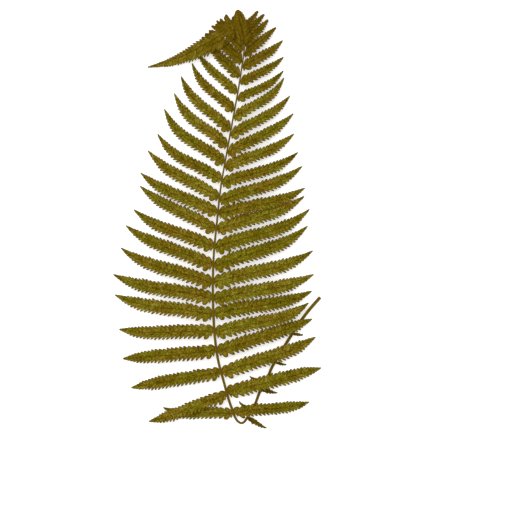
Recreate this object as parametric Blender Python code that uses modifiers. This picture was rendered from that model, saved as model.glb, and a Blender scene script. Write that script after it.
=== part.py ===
"""A cut bracken frond lying flat, with its stalk folded back under the blade.

The stalk is one tapering tube. It runs from the cut end down to a sharp fold, up through the
blade and round a curl at the top, where the frond tip hangs down to the left. Leaflets, the
pinnae, stand along both sides of it. Small ones grow on the folded stretch too.
The frond lies on z = 0, with its length along Y. Sizes are in millimetres until they are built.
"""

import math

import bmesh
import bpy
import numpy as np

MM = 0.001

# The stalk's route by hand: x, y, height of its middle, radius. First the cut end, then the
# fold at FOLD_INDEX, the straight rachis, and the curl from CURL_INDEX on.
STALK_ROUTE = (
    (101, -77.5, 1.8, 1.65),
    (91, -89, 1.8, 1.6),
    (81.5, -101.5, 1.7, 1.55),
    (72, -116, 1.6, 1.5),
    (64, -129, 1.6, 1.5),
    (55, -144, 1.5, 1.4),
    (50, -155, 1.5, 1.4),
    (43, -168, 1.4, 1.4),
    (37, -183, 1.3, 1.3),
    (30, -195, 1.3, 1.2),
    (25.5, -200, 1.4, 1.1),
    (21, -198.5, 2.1, 1.1),
    (18, -194, 3.6, 1.2),
    (15.5, -187, 5.2, 1.3),
    (12, -177, 7, 1.3),
    (6.8, -158, 8.6, 1.3),
    (1.8, -139, 9.4, 1.3),
    (-1, -120, 9.8, 1.3),
    (-2.5, -101, 10, 1.3),
    (-3.4, -70, 10, 1.2),
    (-2.5, -36, 10, 1.1),
    (0.9, -1, 10, 1.0),
    (4.2, 29, 10, 0.9),
    (9.4, 59, 10, 0.8),
    (15.6, 93, 9.8, 0.8),
    (21.9, 128, 9.4, 0.75),
    (26, 155, 9.2, 0.7),
    (27.5, 169, 9.6, 0.65),
    (26.5, 178, 10.4, 0.6),
    (22, 184, 11.2, 0.55),
    (14.5, 185, 11.8, 0.5),
    (7, 182, 12, 0.45),
)
FOLD_INDEX = 10
CURL_INDEX = 28
STEPS_PER_STRETCH = 2

# Leaflets by hand, from the lowest pair up: height of the base (y), lean above the level in
# degrees, length, and how far the middle sags below a straight line, in percent of the length.
RIGHT_PINNAE = (
    (-190, 8, 72, 3),
    (-170, 14.5, 92, 0.5),
    (-151, 21, 95, 3.5),
    (-130, 19, 95, 1.5),
    (-112, 18, 93, 6),
    (-93, 13, 95, 4),
    (-79, 14, 98, 4),
    (-63, 18, 99, 5),
    (-47, 23.5, 97, 6),
    (-29, 22.5, 97, 6.5),
    (-11, 21, 89, 5),
    (4, 17, 86, 5),
    (17, 23, 85, 6),
    (34, 22.5, 78, 6.5),
    (50, 26, 73, 6),
    (64, 31, 73, 5.5),
    (81, 34, 68, 6),
    (98, 39, 61, 9),
    (116, 32, 51.5, 7.5),
    (132, 31, 48, 5),
    (147, 34, 46, 5),
    (159, 41, 40, 1),
    (168, 49, 33, 1),
    (175, 51, 29, -2),
    (180, 56, 25, 0),
)
LEFT_PINNAE = (
    (-190, 5, 66, 6),
    (-172, -19, 78, 2),
    (-150, -10, 86, -0.5),
    (-129, -5, 89, 0.5),
    (-110, 1, 90, 3),
    (-94, 11.5, 95, 4),
    (-78, 13.5, 97, 4),
    (-63, 21, 93, 5),
    (-46, 24.7, 91, 4),
    (-28, 25, 84, 5),
    (-11, 30, 83, 4),
    (5, 27.7, 82.5, 4.5),
    (20, 33.6, 81, 5.5),
    (37, 36, 75, 8),
    (54, 42, 77, 9.5),
    (70, 45, 71.5, 8),
    (86, 47.5, 69.5, 8),
    (105, 48.5, 60, 8.5),
    (122, 45, 53, 4),
    (138, 46.5, 44, 3),
    (152, 47, 42, 5),
    (164, 52, 36, 6),
    (171, 54, 31, 4),
)
# Reduced leaflets on the folded stretch: distance along it from the cut end, lean, length.
STIPE_RIGHT_PINNAE = (
    (44, -4, 9),
    (77, -10, 10),
    (107, -10, 15),
    (138, -27, 20),
)
STIPE_LEFT_PINNAE = (
    (42, 12, 11),
    (73, 18, 12),
    (101, 28, 14),
    (131, 42, 14),
)
# Leaflets whose tips lie on the stalk or on a neighbour, and the height of those tips.
PROPPED_TIPS = {
    "pinna_right_03": 3.5,
    "pinna_right_04": 5.5,
    "pinna_right_05": 6.5,
    "pinna_left_02": 6.0,
}

BLADE_THICKNESS = 0.5
STALK_CLEARANCE = 0.4
TIP_HEIGHT = 0.8
TIP_LIFT = 2.5
TIP_LIFT_TURN = 2.4
DROOP = 0.12
ARCH = 0.022
STIPE_PINNA_BOW = 0.03
ROLL = math.radians(12)
WIDTH_AT_NO_LENGTH = 3.4
WIDTH_PER_LENGTH = 0.112
TIP_HALF_WIDTH = 0.35
FROND_LENGTH = 404
LOW_SAG_SKEW = 2.2
HIGH_SAG_SKEW = 1.3
TIP_SLOPE = 0.25
BASE_SHEAR_SHARE = 0.35
GRID_ALONG = 12
GRID_ACROSS = 2

FROND_TIP_LENGTH = 79
FROND_TIP_LEAN = 23
FROND_TIP_HALF_WIDTH = 8.5
FROND_TIP_TAPER_SHARE = 0.85
FROND_TIP_BOW = 0.05
FROND_TIP_ARCH = 0.015
FROND_TIP_HEIGHT = 3.0

TOP_PINNA_LEAN = 96
TOP_PINNA_LENGTH = 16
TOP_PINNA_HALF_WIDTH = 7
TOP_PINNA_TAPER_SHARE = 0.7
TOP_PINNA_TIP_HEIGHT = 10.5

STALK_COLOUR = (0.20, 0.10, 0.02)
PINNA_COLOUR = (0.18, 0.16, 0.012)
FROND_TIP_COLOUR = (0.22, 0.17, 0.015)
LEAF_ROUGHNESS = 0.7
STALK_ROUGHNESS = 0.6


def clear_scene():
    """Remove whatever objects the file opened with."""
    for old in list(bpy.data.objects):
        bpy.data.objects.remove(old, do_unlink=True)


def make_material(name, colour, roughness):
    """A plain non-metal surface."""
    material = bpy.data.materials.new(name)
    material.use_nodes = True
    shader = material.node_tree.nodes["Principled BSDF"]
    shader.inputs["Base Color"].default_value = (*colour, 1)
    shader.inputs["Roughness"].default_value = roughness
    shader.inputs["Metallic"].default_value = 0
    return material


def smooth_route(points, steps):
    """Catmull-Rom curve through the points, with the given steps in each stretch."""
    knots = np.array(points, dtype=float)
    padded = np.vstack((2 * knots[0] - knots[1], knots, 2 * knots[-1] - knots[-2]))
    share = np.linspace(0, 1, steps, endpoint=False)[None, :, None]
    before = padded[:-3, None]
    start = padded[1:-2, None]
    end = padded[2:-1, None]
    after = padded[3:, None]
    curve = 0.5 * (
        2 * start
        + (end - before) * share
        + (2 * before - 5 * start + 4 * end - after) * share**2
        + (3 * start - before - 3 * end + after) * share**3
    )
    return np.vstack((curve.reshape(-1, knots.shape[1]), knots[-1]))


def make_stalk(route, material):
    """The whole stalk as one tapering tube with closed ends."""
    curve = bpy.data.curves.new("stalk", "CURVE")
    curve.dimensions = "3D"
    curve.bevel_depth = MM
    curve.bevel_resolution = 2
    curve.use_fill_caps = True
    spline = curve.splines.new("POLY")
    spline.points.add(len(route) - 1)
    for point, (x, y, z, radius) in zip(spline.points, route):
        point.co = (x * MM, y * MM, z * MM, 1)
        point.radius = radius
    curve.materials.append(material)
    return bpy.data.objects.new("stalk", curve)


def stalk_frame(route, step):
    """Middle, direction and radius of the stalk at a step of its route, which may be between."""
    steps = np.arange(len(route))
    here = np.array([np.interp(step, steps, route[:, i]) for i in range(4)])
    ahead = np.array([np.interp(step + 0.5, steps, route[:, i]) for i in range(2)])
    behind = np.array([np.interp(step - 0.5, steps, route[:, i]) for i in range(2)])
    along = (ahead - behind) / np.linalg.norm(ahead - behind)
    return here[:3], along, here[3]


def step_at_height(route, height):
    """The step of the route where the rachis, above the fold, reaches a height on Y."""
    first = FOLD_INDEX * STEPS_PER_STRETCH
    last = (CURL_INDEX + 1) * STEPS_PER_STRETCH
    return float(np.interp(height, route[first:last, 1], np.arange(first, last)))


def step_at_distance(route, distance):
    """The step of the route at a distance along the stalk from its cut end."""
    gaps = np.linalg.norm(np.diff(route[:, :3], axis=0), axis=1)
    return float(np.interp(distance, np.concatenate(([0], np.cumsum(gaps))), np.arange(len(route))))


def free_tip_height(root, length, number):
    """Long leaflets droop to the ground, short ones less, and each tip lifts by its own amount."""
    lift = TIP_LIFT * (0.5 + 0.5 * math.sin(TIP_LIFT_TURN * number))
    return max(TIP_HEIGHT, root[0][2] - DROOP * length) + lift


def leaflet_half_width(share, longest, taper_share):
    """Half width along a leaflet: even, then tapering to a fine point."""
    taper = (1 - share) / taper_share
    return max(TIP_HALF_WIDTH, longest * taper / (1 + taper**4) ** 0.25)


def make_leaflet(name, root, side, lean, length, bow, material, **shape):
    """A thin arched blade that starts beside the stalk.

    root is the stalk's middle, direction and radius. side is 1 to the right, -1 to the left.
    The blade's midline sags below a straight line and comes up again at the tip, and it arches
    over and comes down to its tip height. Its base edge runs along the stalk. The edge nearer
    the frond's top dips and the other lifts, so neighbours lie over each other like shingles.
    """
    middle, along, radius = root
    tip_height = shape["tip_height"]
    half_width = shape.get("half_width", 0.5 * (WIDTH_AT_NO_LENGTH + WIDTH_PER_LENGTH * length))
    taper_share = shape.get("taper_share", half_width / (TIP_SLOPE * length))
    arch = shape.get("arch", ARCH)
    roll = shape.get("roll", ROLL)
    sag_skew = LOW_SAG_SKEW + (HIGH_SAG_SKEW - LOW_SAG_SKEW) * (middle[1] / FROND_LENGTH + 0.5)
    angle = math.radians(lean)
    outward = np.array((side * math.cos(angle), math.sin(angle)))
    upward = np.array((-side * math.sin(angle), math.cos(angle)))
    away = outward - along * np.dot(outward, along)
    away = away / np.linalg.norm(away)
    base = middle[:2] + away * (radius + STALK_CLEARANCE)
    shear = np.dot(along, outward) / np.dot(along, upward)

    sheet = bmesh.new()
    bmesh.ops.create_grid(sheet, x_segments=GRID_ALONG, y_segments=GRID_ACROSS, size=0.5)
    for vertex in sheet.verts:
        share = vertex.co.x + 0.5
        across = 2 * vertex.co.y
        offset = across * leaflet_half_width(share, half_width, taper_share)
        sheared = shear * max(0, 1 - share / BASE_SHEAR_SHARE)
        sag = bow * length * math.sin(math.pi * share**sag_skew)
        flat = base + outward * (length * share + sheared * offset) + upward * (offset - sag)
        height = middle[2] + (tip_height - middle[2]) * share**2
        height += arch * length * math.sin(math.pi * share) - offset * math.sin(roll)
        vertex.co = (flat[0] * MM, flat[1] * MM, height * MM)
    bmesh.ops.recalc_face_normals(sheet, faces=sheet.faces)
    mesh = bpy.data.meshes.new(name)
    sheet.to_mesh(mesh)
    sheet.free()
    mesh.shade_smooth()
    mesh.materials.append(material)
    leaflet = bpy.data.objects.new(name, mesh)
    wall = leaflet.modifiers.new("blade thickness", "SOLIDIFY")
    wall.thickness = BLADE_THICKNESS * MM
    wall.offset = 0
    return leaflet


def make_blade_pinnae(route, material):
    """The leaflets in two rows on the rachis, each row numbered from the bottom."""
    leaflets = []
    for word, side, rows in (("right", 1, RIGHT_PINNAE), ("left", -1, LEFT_PINNAE)):
        for number, (height, lean, length, sag) in enumerate(rows, 1):
            name = f"pinna_{word}_{number:02d}"
            root = stalk_frame(route, step_at_height(route, height))
            leaflets.append(
                make_leaflet(
                    name,
                    root,
                    side,
                    lean,
                    length,
                    sag / 100,
                    material,
                    tip_height=PROPPED_TIPS.get(name, free_tip_height(root, length, number)),
                )
            )
    return leaflets


def make_stipe_pinnae(route, material):
    """The small leaflets on the folded stretch, flat on the ground under the blade."""
    leaflets = []
    for word, side, rows in (("right", 1, STIPE_RIGHT_PINNAE), ("left", -1, STIPE_LEFT_PINNAE)):
        for number, (distance, lean, length) in enumerate(rows, 1):
            name = f"stipe_pinna_{word}_{number}"
            root = stalk_frame(route, step_at_distance(route, distance))
            leaflets.append(
                make_leaflet(
                    name,
                    root,
                    side,
                    lean,
                    length,
                    STIPE_PINNA_BOW,
                    material,
                    tip_height=TIP_HEIGHT,
                    roll=0,
                    arch=0,
                )
            )
    return leaflets


def make_top_pinna(route, material):
    """The leaflet that stands up from the outside of the curl."""
    root = stalk_frame(route, (CURL_INDEX + 1) * STEPS_PER_STRETCH)
    return make_leaflet(
        "pinna_top",
        root,
        1,
        TOP_PINNA_LEAN,
        TOP_PINNA_LENGTH,
        0,
        material,
        half_width=TOP_PINNA_HALF_WIDTH,
        taper_share=TOP_PINNA_TAPER_SHARE,
        tip_height=TOP_PINNA_TIP_HEIGHT,
    )


def make_frond_tip(route, material):
    """The long pointed end of the blade, which hangs from the curl down to the left."""
    middle = route[-1, :3] + np.array((1, -3, 0))
    along = np.array((math.sin(math.radians(FROND_TIP_LEAN)), -math.cos(math.radians(FROND_TIP_LEAN))))
    return make_leaflet(
        "frond_tip",
        (middle, along, route[-1, 3]),
        -1,
        -FROND_TIP_LEAN,
        FROND_TIP_LENGTH,
        FROND_TIP_BOW,
        material,
        half_width=FROND_TIP_HALF_WIDTH,
        taper_share=FROND_TIP_TAPER_SHARE,
        arch=FROND_TIP_ARCH,
        roll=0,
        tip_height=FROND_TIP_HEIGHT,
    )


def main():
    clear_scene()
    frond = bpy.data.collections.new("bracken_frond")
    bpy.context.scene.collection.children.link(frond)
    stalk_brown = make_material("stalk", STALK_COLOUR, STALK_ROUGHNESS)
    pinna_green = make_material("pinna", PINNA_COLOUR, LEAF_ROUGHNESS)
    tip_green = make_material("frond_tip", FROND_TIP_COLOUR, LEAF_ROUGHNESS)
    route = smooth_route(STALK_ROUTE, STEPS_PER_STRETCH)
    frond.objects.link(make_stalk(route, stalk_brown))
    for leaflet in make_blade_pinnae(route, pinna_green) + make_stipe_pinnae(route, pinna_green):
        frond.objects.link(leaflet)
    frond.objects.link(make_top_pinna(route, pinna_green))
    frond.objects.link(make_frond_tip(route, tip_green))


main()
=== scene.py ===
"""A cut bracken frond laid flat, with its stalk folded back under the blade.

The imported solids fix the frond's size and place. Here each solid gets its finished surface: the
grooved stalk, the lobed leaflets in two rows, the small leaflets on the folded stretch, the top
leaflet and the long tip of the blade. Short leaflets crowded round the curl are added to them.
The file is laid out as an add-on and runs as a script. The tables are in millimetres and degrees,
and everything else is in metres and radians.
"""

import math
from dataclasses import dataclass

import bpy
import numpy as np
from bpy.props import FloatProperty, FloatVectorProperty, PointerProperty
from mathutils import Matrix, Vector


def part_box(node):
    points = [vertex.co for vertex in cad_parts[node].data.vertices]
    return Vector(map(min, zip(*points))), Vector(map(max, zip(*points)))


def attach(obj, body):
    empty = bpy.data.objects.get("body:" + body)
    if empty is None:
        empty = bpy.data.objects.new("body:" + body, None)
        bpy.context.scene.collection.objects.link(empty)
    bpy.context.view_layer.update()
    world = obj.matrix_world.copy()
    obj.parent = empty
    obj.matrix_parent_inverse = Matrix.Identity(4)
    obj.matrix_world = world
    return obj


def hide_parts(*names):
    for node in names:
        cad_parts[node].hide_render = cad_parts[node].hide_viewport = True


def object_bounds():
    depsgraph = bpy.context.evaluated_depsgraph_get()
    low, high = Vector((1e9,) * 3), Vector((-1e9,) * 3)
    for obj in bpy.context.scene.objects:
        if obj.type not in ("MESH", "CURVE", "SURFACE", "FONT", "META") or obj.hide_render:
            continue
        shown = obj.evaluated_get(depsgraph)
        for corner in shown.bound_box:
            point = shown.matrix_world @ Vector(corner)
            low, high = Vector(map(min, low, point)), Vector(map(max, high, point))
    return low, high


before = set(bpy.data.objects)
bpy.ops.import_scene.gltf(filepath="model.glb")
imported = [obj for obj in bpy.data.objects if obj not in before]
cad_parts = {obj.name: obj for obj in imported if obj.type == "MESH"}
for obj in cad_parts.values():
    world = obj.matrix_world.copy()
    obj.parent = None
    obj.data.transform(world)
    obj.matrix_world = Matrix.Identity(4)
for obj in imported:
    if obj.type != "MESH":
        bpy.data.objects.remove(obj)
CAD_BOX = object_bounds()

bl_info = {
    "name": "Bracken frond",
    "version": (1, 0, 0),
    "blender": (4, 5, 0),
    "location": "View3D > Sidebar > Bracken",
    "description": "Builds the finished surface of a dry bracken frond round its packed solids",
    "category": "Add Mesh",
}

MM = 0.001

# The stalk's route: x, y, height of its middle, radius. First the cut end, then the
# fold at FOLD_INDEX, the straight rachis, and the curl from CURL_INDEX on.
STALK_ROUTE = (
    (101, -77.5, 1.8, 1.65),
    (91, -89, 1.8, 1.6),
    (81.5, -101.5, 1.7, 1.55),
    (72, -116, 1.6, 1.5),
    (64, -129, 1.6, 1.5),
    (55, -144, 1.5, 1.4),
    (50, -155, 1.5, 1.4),
    (43, -168, 1.4, 1.4),
    (37, -183, 1.3, 1.3),
    (30, -195, 1.3, 1.2),
    (25.5, -200, 1.4, 1.1),
    (21, -198.5, 2.1, 1.1),
    (18, -194, 3.6, 1.2),
    (15.5, -187, 5.2, 1.3),
    (12, -177, 7, 1.3),
    (6.8, -158, 8.6, 1.3),
    (1.8, -139, 9.4, 1.3),
    (-1, -120, 9.8, 1.3),
    (-2.5, -101, 10, 1.3),
    (-3.4, -70, 10, 1.2),
    (-2.5, -36, 10, 1.1),
    (0.9, -1, 10, 1.0),
    (4.2, 29, 10, 0.9),
    (9.4, 59, 10, 0.8),
    (15.6, 93, 9.8, 0.8),
    (21.9, 128, 9.4, 0.75),
    (26, 155, 9.2, 0.7),
    (27.5, 169, 9.6, 0.65),
    (26.5, 178, 10.4, 0.6),
    (22, 184, 11.2, 0.55),
    (14.5, 185, 11.8, 0.5),
    (7, 182, 12, 0.45),
)
FOLD_INDEX = 10
CURL_INDEX = 28
STEPS_PER_STRETCH = 2
FINE_STEPS_PER_STRETCH = 8

# Leaflets, listed from the lowest pair up: height of the base (y), lean above the level in
# degrees, length, and how far the middle sags below a straight line, in percent of the length.
RIGHT_LEAFLETS = (
    (-190, 8, 72, 3),
    (-170, 14.5, 92, 0.5),
    (-151, 21, 95, 3.5),
    (-130, 19, 95, 1.5),
    (-112, 18, 93, 6),
    (-93, 13, 95, 4),
    (-79, 14, 98, 4),
    (-63, 18, 99, 5),
    (-47, 23.5, 97, 6),
    (-29, 22.5, 97, 6.5),
    (-11, 21, 89, 5),
    (4, 17, 86, 5),
    (17, 23, 85, 6),
    (34, 22.5, 78, 6.5),
    (50, 26, 73, 6),
    (64, 31, 73, 5.5),
    (81, 34, 68, 6),
    (98, 39, 61, 9),
    (116, 32, 51.5, 7.5),
    (132, 31, 48, 5),
    (147, 34, 46, 5),
    (159, 41, 40, 1),
    (168, 49, 33, 1),
    (175, 51, 29, -2),
    (180, 56, 25, 0),
)
LEFT_LEAFLETS = (
    (-190, 5, 66, 6),
    (-172, -19, 78, 2),
    (-150, -10, 86, -0.5),
    (-129, -5, 89, 0.5),
    (-110, 1, 90, 3),
    (-94, 11.5, 95, 4),
    (-78, 13.5, 97, 4),
    (-63, 21, 93, 5),
    (-46, 24.7, 91, 4),
    (-28, 25, 84, 5),
    (-11, 30, 83, 4),
    (5, 27.7, 82.5, 4.5),
    (20, 33.6, 81, 5.5),
    (37, 36, 75, 8),
    (54, 42, 77, 9.5),
    (70, 45, 71.5, 8),
    (86, 47.5, 69.5, 8),
    (105, 48.5, 60, 8.5),
    (122, 45, 53, 4),
    (138, 46.5, 44, 3),
    (152, 47, 42, 5),
    (164, 52, 36, 6),
    (171, 54, 31, 4),
)
# Reduced leaflets on the folded stretch: distance along it from the cut end, lean, length.
STALK_RIGHT_LEAFLETS = (
    (44, -4, 9),
    (77, -10, 10),
    (107, -10, 15),
    (138, -27, 20),
)
STALK_LEFT_LEAFLETS = (
    (42, 12, 11),
    (73, 18, 12),
    (101, 28, 14),
    (131, 42, 14),
)
# Leaflets whose tips lie on the stalk or on a neighbour, and the height of those tips.
PROPPED_TIPS = {
    ("right", 3): 3.5,
    ("right", 4): 5.5,
    ("right", 5): 6.5,
    ("left", 2): 6.0,
}

# How a leaflet's middle layer lies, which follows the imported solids, and its outline.
STALK_CLEARANCE = 0.0004
TIP_HEIGHT = 0.0008
TIP_LIFT = 0.0025
TIP_LIFT_TURN = 2.4
DROOP = 0.12
ARCH = 0.022
STALK_LEAFLET_BOW = 0.03
ROLL = math.radians(12)
WIDTH_AT_NO_LENGTH = 0.0034
WIDTH_PER_LENGTH = 0.112
FROND_LENGTH = 0.404
LOW_SAG_SKEW = 2.2
HIGH_SAG_SKEW = 1.3
TIP_SLOPE = 0.25
BASE_SHEAR_SHARE = 0.35
SMALL_STEP = 0.0001

# How the leaflets change up the blade, each change between two heights (y) in millimetres. The
# lowest ones have blunter points. Those near the top are older, broader and rounder at the tip.
LOW_TIP_SLOPE = 0.08
LOW_TIPS_END = (-130, -50)
AGING = (105, 178)
BROADENING = (118, 150)
EXTRA_BREADTH = {"right": 0.26, "left": 0.52}
BLUNTING = (150, 172)
STALK_LEAFLET_AGE = 0.6

# Small leaflets crowded round the curl: base x and y, side, lean, length and half width. The
# first ones fill the crown from behind, and the last ones run on along the blade tip.
CROWN_LEAFLETS = (
    (18, 181, -1, -52, 17, 4.2),
    (14, 184, -1, -40, 17, 4.4),
    (11, 184, -1, -24, 16, 4.2),
    (12, 184, -1, 5, 15, 4.4),
    (13, 180, -1, 30, 16, 4.2),
    (23.5, 179, 1, 56, 18.5, 4.6),
    (19, 181, -1, 80, 15, 5),
    (15, 181, -1, 71, 17.5, 4.8),
    (11, 181, -1, 60, 14.5, 3.6),
    (9, 179, -1, 56, 15.3, 2.6),
    (6.5, 180, -1, 30, 13, 3),
    (3, 177, -1, 26, 11.4, 2.8),
    (-1.5, 175, -1, 22, 10.3, 2.6),
    (-5.5, 172.8, -1, 15, 9.2, 2.4),
)
CROWN_HEIGHT = 0.0128
CROWN_STEP_DOWN = 0.0001
CROWN_TIP_DROP = 0.0016

# Where the top leaflet leaves the rachis, how far from the stalk's end the blade's tip starts, and
# how they lean.
TOP_LEAFLET_FROM = 0.168
TOP_LEAFLET_LIFT = 0.001
TOP_LEAFLET_LEAN = math.radians(101)
BLADE_TIP_SHIFT = (0.001, -0.003, 0)
BLADE_TIP_LEAN = math.radians(23)

# The leaflet's fine form: rows of points start on the midrib and lean forward to the edge. A pair
# says where a feature fades, as shares of the length or, for RELIEF_OUT, of the way to the edge.
ROWS_PER_LOBE = 8
PETIOLE_ROWS = 3
PETIOLE_HALF_WIDTH = 0.0005
ACROSS = np.array((0, 0.07, 0.16, 0.3, 0.46, 0.62, 0.77, 0.9, 1))
CROWDING = 0.2
SWEEP_STARTS_OVER = 0.12
UPPER_NARROWING = 0.12
UPPER_NARROW_END = 0.2
LOWER_FULLNESS = 0.1
LOWER_FULL_END = 0.35
UPPER_OPENS_OVER = 0.0004
LOWER_OPENS_OVER = 0.0022
RELIEF_OUT = (0.1, 0.5)
RELIEF_START = (0, 0.04)
RELIEF_END = (0.85, 1)
BASE_AGING_REACH = 0.4
EDGE_THINNING = 0.6
MIDRIB_WIDTH = 0.0006
MIDRIB_RIDGE_ASIDE = 0.0013
MIDRIB_RIDGE_SHARE = 0.5
CREASE_WIDTH = 0.1
VEIN_SHARE = 0.3
GROUND_CLEARANCE = 0.00005

# The lobes' outline, and their notches, which get shallower along the leaflet.
NOTCH_SPREAD = 0.75
NOTCH_CURVE = 1.7
NOTCH_AT_BASE = 1.1
NOTCH_FADING = 0.2
NOTCH_LOSS_AT_TIP = 0.6
NOTCH_LOSS_OVER = (0.75, 0.98)
LOBE_LEAN = 1.3
LOBE_OVERREACH = 1.08
LOBE_VARIATION = 0.07
FEWEST_LOBES = 4

# A tip's half width, how many of them its rounding takes, and the last share of that length, over
# which it rounds no more. So that the rounded tip reaches as far as the table says, a leaflet is
# longer by the overrun for each millimetre.
TIP_HALF_WIDTH = 0.0005
TIP_ROUNDING = 1.6
TIP_END_SHARE = 0.05
TIP_OVERRUN = 0.000018

# The stalk's relief: its channel's width in radians, its ridges, which wander slowly from side to
# side, and the length of its knees. Each end ring is a share of the last full ring, and its depth.
STALK_SIDES = 24
CHANNEL_WIDTH = 0.42
RIDGES = 7
RIDGE_WANDER = 0.8
WANDER_PER_LENGTH = 40
KNEE_LENGTH = 0.0016
STALK_END_SHARES = (
    (0.96, -0.0002),
    (0.8, -0.00025),
    (0.5, -0.0001),
    (0.2, 0.0001),
    (0.02, 0.0001),
)

# The flat map of a piece: its margin, its two bands, and the column for the end strips.
MAP_MARGIN = 0.01
BAND_LENGTH = 0.95
BAND_HEIGHT = 0.47
STRIP_PLACE = 0.97
STRIP_WIDTH = 0.02
STRIP_HEIGHT = 0.45

# How far a finished piece's middle may lie from the middle of the solid that it stands for.
STANDS_WITHIN = 0.01

# The camera stands a little to the right of the frond's middle and below it.
CAMERA_ASIDE = 0.0371
CAMERA_DOWN = 0.0352
LAMP_HEIGHT = 3.2
LAMP_SIZE = 2.4
LAMP_ASIDE = -0.7
LAMP_UP = 0.7
FLOOR_GAP = 0.0001
FLOOR_TOOTH_SHADE = 0.98
FLOOR_TOOTH_SCALE = 400


@dataclass
class Leaflet:
    """One leaflet's measurements. The root is the stalk's middle, direction and radius there.

    Sag and arch are shares of the length. Sweep, notch and lower breadth multiply what is usual,
    and upper cut multiplies the notches of the upper edge. Base aging is added to the age there.
    """

    name: str
    node: str
    root: tuple
    side: int
    lean: float
    length: float
    sag: float
    tip_height: float
    half_width: float
    lobes: int
    seed: int
    age: float
    taper_share: float = 0
    arch: float = 0
    roll: float = 0
    flare: float = 0
    crowding: float = CROWDING
    lower_breadth: float = 1
    sweep: float = 1
    notch: float = 1
    blunt: float = TIP_HALF_WIDTH
    upper_cut: float = 1
    base_aging: float = 0


def length_property(name, description, default):
    """A length in metres."""
    return FloatProperty(name=name, description=description, default=default, unit="LENGTH")


def share_property(name, description, default):
    """A share of another size."""
    return FloatProperty(name=name, description=description, default=default, subtype="FACTOR")


def number_property(name, description, default):
    """A plain number."""
    return FloatProperty(name=name, description=description, default=default)


def colour_property(name, description, default):
    """A linear colour that a user can pick."""
    return FloatVectorProperty(
        name=name, description=description, default=default, subtype="COLOR", min=0, max=1
    )


class BrackenLeaflets(bpy.types.PropertyGroup):
    """Sizes of the leaflets' lobes and relief."""

    lobe_spacing: length_property("Lobe spacing", "Distance between a very short leaflet's lobes", 0.0030)
    lobe_growth: number_property("Lobe growth", "Extra lobe spacing for each unit of length", 0.0095)
    lower_notch: share_property("Lower notch", "Notches towards the foot, as a share of the width", 0.42)
    upper_notch: share_property("Upper notch", "Notches towards the top, as a share of the width", 0.22)
    sweep: number_property("Sweep", "How far a lobe leans forward for each unit it goes out", 0.6)
    thickness: length_property("Thickness", "Thickness of the leaf blade beside the midrib", 0.0003)
    dome: length_property("Lobe dome", "How far the middle of a lobe stands above its sides", 0.00035)
    crease: length_property("Crease", "Depth of the crease between two lobes", 0.0002)
    shingle: length_property("Shingle", "How far a lobe's front stands above its rear", 0.0002)
    groove: length_property("Midrib groove", "Depth of the groove along the midrib", 0.0004)
    curl: length_property("Edge curl", "How far the edges bend down", 0.0005)


class BrackenStalk(bpy.types.PropertyGroup):
    """Sizes of the stalk's relief, as shares of its radius."""

    groove: share_property("Groove", "Depth of the channel along the stalk's upper side", 0.22)
    ridge: share_property("Ridges", "Height of the fine ridges along the stalk", 0.03)
    knee: share_property("Knees", "Swelling where a leaflet leaves the stalk", 0.18)


class BrackenColours(bpy.types.PropertyGroup):
    """Colours of the dry frond."""

    olive: colour_property("Olive", "Most of the blade", (0.140, 0.0955, 0.0018))
    green: colour_property("Green", "Fresher patches of the blade", (0.132, 0.1155, 0.0022))
    brown: colour_property("Brown", "Older patches of the blade", (0.108, 0.0685, 0.0011))
    # Dark is the real colour of dry edges, midrib and wrinkles, and also paints shade in the creases.
    dark: colour_property("Dark", "Creases and dry edges", (0.050, 0.0325, 0.0006))
    vein: colour_property("Vein", "Raised veins and worn ridges", (0.281, 0.2150, 0.0225))
    rust: colour_property("Rust", "Dry margins and tips", (0.169, 0.0700, 0.0038))
    stalk: colour_property("Stalk", "The stalk's sides", (0.140, 0.0900, 0.0018))
    stalk_dark: colour_property("Stalk shade", "The stalk's channel and streaks", (0.083, 0.0450, 0.0012))
    pith: colour_property("Pith", "The pale middle of the cut end", (0.475, 0.3400, 0.1500))


class BrackenStage(bpy.types.PropertyGroup):
    """The floor, the light and the camera."""

    floor_colour: colour_property("Floor", "Colour of the plain floor", (0.900, 0.900, 0.890))
    floor_size: length_property("Floor size", "Side of the square floor", 6)
    floor_glow: number_property("Floor glow", "Strength of the faint light that keeps shadows pale", 0.37)
    sky: number_property("Surrounding light", "Strength of the even light from all round", 0.8)
    lamp: number_property("Lamp", "Power of the large soft lamp overhead, in watts", 70)
    camera_height: length_property("Camera height", "Height of the camera above the floor", 2.4983)
    camera_lens: number_property("Camera lens", "Focal length in millimetres", 180)


# ---------------------------------------------------------------- shapes


def smooth_step(value, low, high):
    """0 below low, 1 above high, and an S-shaped rise between them."""
    share = np.clip((value - low) / (high - low), 0, 1)
    return share * share * (3 - 2 * share)


def bell(value, centre, width):
    """A bell curve, 1 high at its centre and of that width."""
    return np.exp(-(((value - centre) / width) ** 2))


def smooth_route(points, steps):
    """Catmull-Rom curve through the points, with the given steps in each stretch."""
    knots = np.array(points, dtype=float)
    padded = np.vstack((2 * knots[0] - knots[1], knots, 2 * knots[-1] - knots[-2]))
    share = np.linspace(0, 1, steps, endpoint=False)[None, :, None]
    before = padded[:-3, None]
    start = padded[1:-2, None]
    end = padded[2:-1, None]
    after = padded[3:, None]
    curve = 0.5 * (
        2 * start
        + (end - before) * share
        + (2 * before - 5 * start + 4 * end - after) * share**2
        + (3 * start - before - 3 * end + after) * share**3
    )
    return np.vstack((curve.reshape(-1, knots.shape[1]), knots[-1]))


def stalk_route(steps):
    """The stalk's route in metres: x, y, height and radius at each step."""
    return smooth_route(STALK_ROUTE, steps) * MM


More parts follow.
